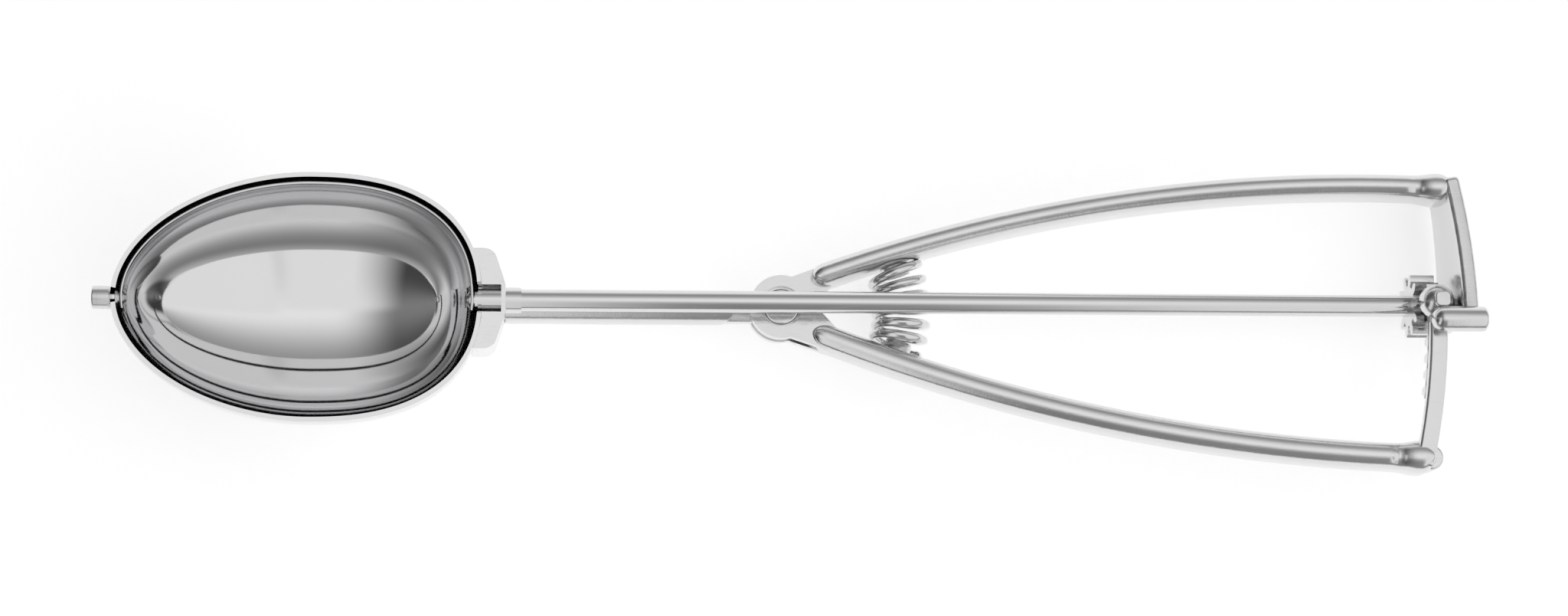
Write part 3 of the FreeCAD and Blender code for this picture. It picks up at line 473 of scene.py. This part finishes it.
# Scraper
def strip_surface(bowl, strip):
    """The scraper as a thin sprung sheet. Its faces are layers of the bowl's solid of revolution, inset by a
    depth d. At a share f of the half width h - d and a height z, Y = f sqrt((h - d)^2 - z^2), and X lies on
    the superellipse at the radius sqrt(Y^2 + z^2). f runs from the front hook up to 1 at the widest place and
    down to the heel's hook. The section is a loop of (z, d): two flat faces joined by half-round edges."""
    stations, face_steps, edge_steps = 90, 13, 9
    half_z = strip.width / 2
    edge = strip.thick / 2
    bend = np.linspace(-math.pi / 2, math.pi / 2, edge_steps)
    flat = np.linspace(-1, 1, face_steps)[1:-1] * (half_z - edge)
    round_edge = half_z - edge + edge * np.cos(bend)
    z = np.concatenate([flat, round_edge, flat[::-1], -round_edge])
    mid = strip.inset + edge
    d = np.concatenate([np.full_like(flat, strip.inset), mid + edge * np.sin(bend),
                        np.full_like(flat, strip.inset + strip.thick), mid - edge * np.sin(bend)])
    sweep = np.linspace(0, 1, stations)
    low = -strip.overhang / bowl.half_width
    rise = low + (1 - low) * np.sin(sweep * math.pi / 2)
    share = np.concatenate([rise, rise[-2::-1]])[:, None]
    front = np.arange(len(share))[:, None] < stations
    reach = np.where(front, bowl.front_length, bowl.heel_length) - d
    power = np.where(front, bowl.front_power, bowl.heel_power)
    wide = bowl.half_width - d
    y = share * np.sqrt(wide ** 2 - z ** 2)
    out = (np.sqrt(y ** 2 + z ** 2) / wide).clip(0, 1)
    x = bowl.wide_x + np.where(front, -1, 1) * reach * (1 - out ** power) ** (1 / power)
    grid = np.stack([x, y, np.broadcast_to(z, x.shape)], -1)
    rows, columns = x.shape
    index = np.arange(rows * columns).reshape(rows, columns)
    sides = grid_faces(np.concatenate([index, index[:, :1]], 1))
    return to_row(grid.reshape(-1, 3)), [tuple(f) for f in sides] + [tuple(index[0]), tuple(index[-1, ::-1])]


class SCOOP_OT_scraper(bpy.types.Operator):
    """The thin sweeping scraper strip with rounded edges, and the finish of its front pin."""
    bl_idname = "scoop.scraper"
    bl_label = "Scraper"

    def execute(self, context):
        colours = context.scene.scoop_colours
        points, faces = strip_surface(context.scene.scoop_bowl, context.scene.scoop_strip)
        strip = new_piece("scraper_sheet", points, faces, "rotor", sharp_deg=50)
        strip.data.materials.append(metal("polished_strip", colours.polished, 0.10, patches=0.03))
        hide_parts("scraper_strip")
        turned = metal("turned_pin", colours.turned, 0.22, lines=0.000004, stretch=(3000.0, 200.0, 200.0))
        finish(["front_pin"], turned)
        return {"FINISHED"}


# Rod and yoke
class SCOOP_OT_rod(bpy.types.Operator):
    """Drawn finish of the drive rod and its collar, with faint marks along its length."""
    bl_idname = "scoop.rod"
    bl_label = "Drive Rod"

    def execute(self, context):
        colours = context.scene.scoop_colours
        finish(["drive_rod", "rod_collar"], metal("drawn_rod", colours.drawn, 0.14, lines=0.000002,
                                                  stretch=(25.0, 2500.0, 2500.0)))
        return {"FINISHED"}


class SCOOP_OT_yoke(bpy.types.Operator):
    """Satin finish of the heel yoke."""
    bl_idname = "scoop.yoke"
    bl_label = "Heel Yoke"

    def execute(self, context):
        colours = context.scene.scoop_colours
        finish(["heel_yoke"], metal("satin_yoke", colours.satin, 0.34, grain=0.00001, patches=0.05))
        return {"FINISHED"}


# Handles, gearing and pivot
def arm_cover(name, arm, sizes, side, body, material):
    """A full-width rounded arm over the CAD arm. The section is two half superellipses, round above and
    squarer below, carried along the arm's level arc and then tipped up by the slope. Both ends are noses: the
    section shrinks with the cosine of a quarter turn while it moves on by the sine. Near the corner the crest
    dips into a dimple and swells into the corner's hump, each a bell curve of the distance from the end."""
    nose_steps, arm_steps, ring_steps = 9, 148, 48
    round_power, square_power, nose_power = 2.2, 6.0, 0.3
    level_cover = sizes.cover * 0.2
    start_turn = math.asin((arm.apex_x - sizes.start) / arm.arc)
    end_turn = math.asin((arm.apex_x - arm.end) / arm.arc)
    nose = np.linspace(0, math.pi / 2, nose_steps)[::-1]
    between = np.linspace(start_turn, end_turn, arm_steps + 2)[1:-1]
    turn = np.concatenate([np.full_like(nose, start_turn), between, np.full_like(nose, end_turn)])
    shrink = np.concatenate([np.cos(nose), np.ones(arm_steps), np.cos(nose[::-1])])
    run = np.concatenate([-np.sin(nose), np.zeros(arm_steps), np.sin(nose[::-1])])
    left = (turn - end_turn) * arm.arc
    hump = np.exp(-((left - sizes.hump_back) / sizes.hump_length) ** 2)
    dimple = np.exp(-((left - sizes.dimple_back) / sizes.dimple_length) ** 2)
    half = arm.width / 2 + sizes.cover + hump * sizes.hump_side
    crown = sizes.crown + level_cover + hump * sizes.hump_rise - dimple * sizes.dimple_depth
    t = np.linspace(0, 2 * math.pi, ring_steps + 1)[:-1]
    power = np.where(np.sin(t) >= 0, 2 / round_power, 2 / square_power)
    across = np.sign(np.cos(t)) * np.abs(np.cos(t)) ** power
    up = np.sign(np.sin(t)) * np.abs(np.sin(t)) ** power
    below = sizes.depth - sizes.crown + level_cover
    narrow = shrink.clip(1e-6)[:, None] ** nose_power
    height = np.where(up >= 0, up * crown[:, None], up * below) * narrow
    offset = across[None, :] * (half * shrink)[:, None]
    radius = arm.arc + offset
    on = (run * (arm.width / 2 + sizes.nose))[:, None]
    x = arm.apex_x - radius * np.sin(turn)[:, None] + on * np.cos(turn)[:, None]
    y = arm.apex_y - arm.arc + radius * np.cos(turn)[:, None] + on * np.sin(turn)[:, None]
    z = height - sizes.crown
    dx = x - sizes.start
    slope = sizes.slope
    grid = np.stack([sizes.start + dx * math.cos(slope) - z * math.sin(slope), y * side,
                     sizes.start_top + dx * math.sin(slope) + z * math.cos(slope)], -1)
    rows, columns = grid.shape[:2]
    index = np.arange(rows * columns).reshape(rows, columns)
    index = np.concatenate([index, index[:, :1]], 1)
    piece = new_piece(name, to_row(grid.reshape(-1, 3)), grid_faces(index, side < 0), body, sharp_deg=60)
    weld = piece.modifiers.new("close_ends", "WELD")
    weld.merge_threshold = SEAM
    piece.data.materials.append(material)
    return piece


class SCOOP_OT_handles(bpy.types.Operator):
    """Plated cast finish of the two handles, with full-width rounded arms over the plain ones."""
    bl_idname = "scoop.handles"
    bl_label = "Handles"

    def execute(self, context):
        colours = context.scene.scoop_colours
        casting = metal("plated_casting", colours.cast, 0.2, grain=0.000035, patches=0.07)
        finish(["fixed_handle", "moving_handle"], casting)
        arms = context.scene.scoop_arms
        for name, arm, side, body in (("fixed_arm_skin", context.scene.scoop_fixed_arm, 1, "frame"),
                                      ("moving_arm_skin", context.scene.scoop_moving_arm, -1, "lever")):
            arm_cover(name, arm, arms, side, body, casting)
        return {"FINISHED"}


class SCOOP_OT_gearing(bpy.types.Operator):
    """Finish of the pinion, its cross pin, the rack, the stop knob and the tail bush."""
    bl_idname = "scoop.gearing"
    bl_label = "Gearing"

    def execute(self, context):
        colours = context.scene.scoop_colours
        cut = metal("cut_gear", colours.gear, 0.26, lines=0.000004, stretch=(600.0, 3000.0, 600.0))
        finish(["pinion", "gear_rack"], cut)
        turned = metal("turned_fitting", colours.turned, 0.2, grain=0.00001)
        finish(["pinion_pin", "stop_knob", "tail_bush"], turned)
        return {"FINISHED"}


class SCOOP_OT_pivot(bpy.types.Operator):
    """Finish of the pivot rivet and its washer, with turning marks."""
    bl_idname = "scoop.pivot"
    bl_label = "Pivot"

    def execute(self, context):
        colours = context.scene.scoop_colours
        finish(["pivot_rivet", "rivet_washer"], metal("turned_rivet", colours.turned, 0.2, grain=0.00001))
        return {"FINISHED"}


# Return spring
def spring_surface(spring):
    """The open coil spring: a round wire on a helix whose axis is an arc about the pivot, so that its coils
    fan out with the arms. Wire centre = place on the arc + coil radius (cos t outward + sin t up), and the
    tube is a ring of the wire's radius square to the helix. The ends narrow to points."""
    stations, sides, taper, tip = 361, 20, 3, 0.001
    t = np.linspace(0, 2 * math.pi * spring.turns, stations)
    half_arc = math.asin(spring.half_length / spring.place)
    phi = half_arc * (1 - 2 * t / t[-1])
    outward = np.stack([np.cos(phi), np.sin(phi), np.zeros_like(phi)], -1)
    upward = np.array([0.0, 0.0, 1.0])
    coil = spring.coil - spring.wire
    across = np.cos(t)[:, None] * outward + np.sin(t)[:, None] * upward
    centre = spring.place * outward + coil * across + np.array([0.0, 0.0, spring.height])
    along = np.gradient(centre, axis=0)
    along /= np.linalg.norm(along, axis=1, keepdims=True)
    beside = np.cross(along, across)
    beside /= np.linalg.norm(beside, axis=1, keepdims=True)
    normal = np.cross(beside, along)
    q = np.linspace(0, 2 * math.pi, sides + 1)[:-1]
    from_end = np.minimum(np.arange(stations), np.arange(stations)[::-1])
    size = spring.wire * np.minimum(1, from_end / taper).clip(tip) ** 0.5
    ring = np.cos(q)[None, :, None] * normal[:, None] + np.sin(q)[None, :, None] * beside[:, None]
    grid = centre[:, None] + ring * size[:, None, None]
    index = np.arange(stations * sides).reshape(stations, sides)
    return to_row(grid.reshape(-1, 3)), grid_faces(np.concatenate([index, index[:, :1]], 1), True)


class SCOOP_OT_spring(bpy.types.Operator):
    """The open return spring, and the finish of its two pegs."""
    bl_idname = "scoop.spring"
    bl_label = "Return Spring"
    end_seam = 0.000003

    def execute(self, context):
        colours = context.scene.scoop_colours
        sizes = context.scene.scoop_spring
        points, faces = spring_surface(sizes)
        coils = new_piece("return_coils", points, faces, "frame", sharp_deg=60)
        weld = coils.modifiers.new("close_ends", "WELD")
        weld.merge_threshold = self.end_seam
        hard_drawn = metal("spring_wire_finish", colours.wire, 0.12, grain=0.000006, patches=0.08)
        coils.data.materials.append(hard_drawn)
        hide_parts("return_spring")
        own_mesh(coils)
        turned = metal("turned_peg", colours.turned, 0.24, grain=0.00001)
        finish(["upper_spring_peg", "lower_spring_peg"], turned)
        return {"FINISHED"}


# Studio
def map_range(tree, value, low, high, to_low, to_high):
    """A smooth Map Range between two values; gives its output socket."""
    node = tree.nodes.new("ShaderNodeMapRange")
    node.interpolation_type = "SMOOTHSTEP"
    for label, number in (("From Min", low), ("From Max", high), ("To Min", to_low), ("To Max", to_high)):
        node.inputs[label].default_value = number
    tree.links.new(value, node.inputs["Value"])
    return node.outputs["Result"]


def seen_glow(tree, shaded, strength):
    """Adds an even glow of that strength to a shader where camera, mirror and glass rays meet it."""
    link = tree.links.new
    path = tree.nodes.new("ShaderNodeLightPath")
    seen = math_node(tree, "MAXIMUM", path.outputs["Is Camera Ray"], path.outputs["Is Glossy Ray"])
    seen = math_node(tree, "MAXIMUM", seen, path.outputs["Is Transmission Ray"])
    glow = tree.nodes.new("ShaderNodeEmission")
    link(math_node(tree, "MULTIPLY", seen, strength), glow.inputs["Strength"])
    both = tree.nodes.new("ShaderNodeAddShader")
    link(shaded, both.inputs[0])
    link(glow.outputs[0], both.inputs[1])
    return both.outputs[0]


class SCOOP_OT_stage(bpy.types.Operator):
    """Pale floor, a strip of light over the rod, the bowl's card, and the photograph's camera."""
    bl_idname = "scoop.stage"
    bl_label = "Studio"

    def execute(self, context):
        studio = context.scene.scoop_studio
        self.floor(studio)
        self.sky(context.scene, studio)
        self.card(studio)
        self.camera(context.scene, studio)
        context.scene.view_settings.view_transform = "Standard"
        return {"FINISHED"}

    def floor(self, studio):
        """A square of 4 m under the tool, lit by the sky, and lifted to white where it is seen."""
        half_side, count = 2.0, 9
        side = np.linspace(-half_side, half_side, count)
        x, y = np.meshgrid(side, side, indexing="ij")
        points = np.stack([x, y, np.zeros_like(x)], -1).reshape(-1, 3)
        mesh = bpy.data.meshes.new("floor")
        mesh.from_pydata(points.tolist(), [], grid_faces(np.arange(x.size).reshape(x.shape)).tolist())
        floor = bpy.data.objects.new("floor", mesh)
        bpy.context.scene.collection.objects.link(floor)
        material = bpy.data.materials.new("studio_floor")
        material.use_nodes = True
        tree = material.node_tree
        shader = tree.nodes["Principled BSDF"]
        shader.inputs["Base Color"].default_value = (*studio.floor, 1)
        shader.inputs["Roughness"].default_value = 1.0
        shader.inputs["Specular IOR Level"].default_value = 0.0
        out = seen_glow(tree, shader.outputs[0], studio.floor_glow)
        tree.links.new(out, tree.nodes["Material Output"].inputs["Surface"])
        floor.data.materials.append(material)

    def sky(self, scene, studio):
        """World light, the same to the camera and to mirrors: a strip over the rod that falls off to each
        side as a bell curve of the angle, dimmer beyond the bowl's front, a low window on the fixed arm's
        side, and a broad panel beyond the handles on the moving arm's side."""
        world = bpy.data.worlds.new("studio_sky")
        scene.world = world
        world.use_nodes = True
        tree = world.node_tree
        link = tree.links.new
        place = tree.nodes.new("ShaderNodeTexCoord")
        parts = []
        for axis in (ROD_AXIS, SIDE_AXIS, MOUTH_AXIS):
            dot = tree.nodes.new("ShaderNodeVectorMath")
            dot.operation = "DOT_PRODUCT"
            dot.inputs[1].default_value = axis
            link(place.outputs["Generated"], dot.inputs[0])
            parts.append(dot.outputs["Value"])
        along, aside, above = parts
        window_start, window_full = math.radians(55), math.radians(85)
        front_end, front_start, front_level = -0.60, -0.08, 0.24
        turn = math_node(tree, "ARCTAN2", aside, above)
        far_side = math_node(tree, "GREATER_THAN", turn, 0.0)
        wider = math_node(tree, "MULTIPLY", far_side, studio.strip_far - studio.strip_near)
        width = math_node(tree, "ADD", wider, studio.strip_near)
        share = math_node(tree, "DIVIDE", turn, width)
        square = math_node(tree, "MULTIPLY", share, share)
        bell = math_node(tree, "EXPONENT", math_node(tree, "MULTIPLY", square, -1.0))
        strip = math_node(tree, "ADD", math_node(tree, "MULTIPLY", bell, 1.0 - studio.dim), studio.dim)
        window = map_range(tree, turn, window_start, window_full, 0.0, studio.window)
        strip = math_node(tree, "ADD", strip, window)
        front = map_range(tree, along, front_end, front_start, front_level, 1.0)
        overhead = math_node(tree, "MULTIPLY", math_node(tree, "MULTIPLY", strip, front), studio.sky)
        beyond, beside, raised = (0.16, 0.30), (0.20, 0.02), (0.12, 0.32)
        panel = math_node(tree, "MULTIPLY", map_range(tree, along, *beyond, 0.0, 1.0),
                          map_range(tree, aside, *beside, 0.0, 1.0))
        panel = math_node(tree, "MULTIPLY", panel, map_range(tree, above, *raised, 0.0, 1.0))
        mix = tree.nodes.new("ShaderNodeMix")
        mix.data_type = "FLOAT"
        mix.inputs["B"].default_value = studio.side_panel
        link(panel, mix.inputs["Factor"])
        link(overhead, mix.inputs["A"])
        background = tree.nodes["Background"]
        background.inputs["Color"].default_value = (1, 1, 1, 1)
        link(mix.outputs["Result"], background.inputs["Strength"])

    def card(self, studio):
        """A soft-edged card curved round the bowl's axis on the moving arm's side, seen by mirrors alone. It
        is part of a cylinder, (Y, Z) = radius (sin a, cos a), with its soft edge kept as an attribute."""
        radius = 0.2
        columns, rows = 25, 33
        far_end, near_end = -0.26, 0.0
        low_side, high_side = np.radians((-92, 8))
        x, turn = np.meshgrid(np.linspace(far_end, near_end, columns), np.linspace(low_side, high_side, rows),
                              indexing="ij")
        points = to_row(np.stack([x, radius * np.sin(turn), radius * np.cos(turn)], -1).reshape(-1, 3))
        mesh = bpy.data.meshes.new("bowl_card")
        mesh.from_pydata(points.tolist(), [], grid_faces(np.arange(x.size).reshape(x.shape)).tolist())
        card = bpy.data.objects.new("bowl_card", mesh)
        bpy.context.scene.collection.objects.link(card)
        far_fade, near_fade, side_fade = 0.5, 0.22, 0.12
        wide, tall = np.linspace(0, 1, columns), np.linspace(0, 1, rows)
        across = (wide / far_fade).clip(0, 1) ** 1.5 * ((1 - wide) / near_fade).clip(0, 1)
        around = (tall / side_fade).clip(0, 1) * ((1 - tall) / side_fade).clip(0, 1)
        mask = mesh.attributes.new("edge", "FLOAT", "POINT")
        mask.data.foreach_set("value", (across[:, None] * (3 - 2 * around) * around ** 2).ravel())
        material = bpy.data.materials.new("bowl_card")
        material.use_nodes = True
        tree = material.node_tree
        tree.nodes.remove(tree.nodes["Principled BSDF"])
        edge = tree.nodes.new("ShaderNodeAttribute")
        edge.attribute_name = "edge"
        path = tree.nodes.new("ShaderNodeLightPath")
        glow = tree.nodes.new("ShaderNodeEmission")
        glow.inputs["Strength"].default_value = studio.bowl_card
        mix = tree.nodes.new("ShaderNodeMixShader")
        share = math_node(tree, "MULTIPLY", edge.outputs["Fac"], path.outputs["Is Glossy Ray"])
        tree.links.new(share, mix.inputs[0])
        tree.links.new(tree.nodes.new("ShaderNodeBsdfTransparent").outputs[0], mix.inputs[1])
        tree.links.new(glow.outputs[0], mix.inputs[2])
        tree.links.new(mix.outputs[0], tree.nodes["Material Output"].inputs["Surface"])
        card.data.materials.append(material)

    def camera(self, scene, studio):
        """The photograph's camera: a pinhole at its place in the tool's frame, looking at its target."""
        eye = np.array(studio.eye)
        forward = np.array(studio.target) - eye
        forward /= np.linalg.norm(forward)
        right = np.array([1.0, 0, 0]) - forward[0] * forward
        right /= np.linalg.norm(right)
        up = np.cross(right, forward)
        turn = studio.roll
        right, up = math.cos(turn) * right + math.sin(turn) * up, math.cos(turn) * up - math.sin(turn) * right
        basis = np.array(TOOL) @ np.stack([right, up, -forward], 1)
        matrix = np.eye(4)
        matrix[:3, :3] = basis
        matrix[:3, 3] = to_row(eye)
        data = bpy.data.cameras.new("photo_camera")
        data.sensor_width = 36.0
        data.lens = studio.lens
        data.clip_start = 0.01
        camera = bpy.data.objects.new("photo_camera", data)
        scene.collection.objects.link(camera)
        camera.matrix_world = Matrix(matrix.tolist())
        scene.camera = camera


# Panel and registration
class SCOOP_PT_panel(bpy.types.Panel):
    """Sizes, colours and the steps that dress the scoop."""
    bl_idname = "SCOOP_PT_panel"
    bl_label = "Lever Scoop"
    bl_space_type = "VIEW_3D"
    bl_region_type = "UI"
    bl_category = "Scoop"

    def draw(self, context):
        layout = self.layout
        for group in (getattr(context.scene, name) for name, _ in GROUPS):
            column = layout.box().column()
            for name in group.__annotations__:
                column.prop(group, name)
        for operator in OPERATORS:
            layout.operator(operator.bl_idname)


OPERATORS = (SCOOP_OT_stage, SCOOP_OT_bowl, SCOOP_OT_scraper, SCOOP_OT_rod, SCOOP_OT_yoke, SCOOP_OT_handles,
             SCOOP_OT_gearing, SCOOP_OT_pivot, SCOOP_OT_spring)
GROUPS = (("scoop_bowl", BowlSizes), ("scoop_strip", StripSizes), ("scoop_spring", SpringSizes),
          ("scoop_fixed_arm", FixedArmSizes), ("scoop_moving_arm", MovingArmSizes),
          ("scoop_arms", ArmSkinSizes), ("scoop_colours", FinishColours), ("scoop_studio", StudioSettings))


def register():
    """Registers the settings, the operators and the panel."""
    for name, group in GROUPS:
        bpy.utils.register_class(group)
        setattr(bpy.types.Scene, name, bpy.props.PointerProperty(type=group))
    for item in (*OPERATORS, SCOOP_PT_panel):
        bpy.utils.register_class(item)


def unregister():
    """Removes what register added, in reverse."""
    for item in (SCOOP_PT_panel, *reversed(OPERATORS)):
        bpy.utils.unregister_class(item)
    for name, group in reversed(GROUPS):
        delattr(bpy.types.Scene, name)
        bpy.utils.unregister_class(group)


def main():
    register()
    for operator in OPERATORS:
        family, step = operator.bl_idname.split(".")
        getattr(getattr(bpy.ops, family), step)()


if __name__ == "__main__":
    main()
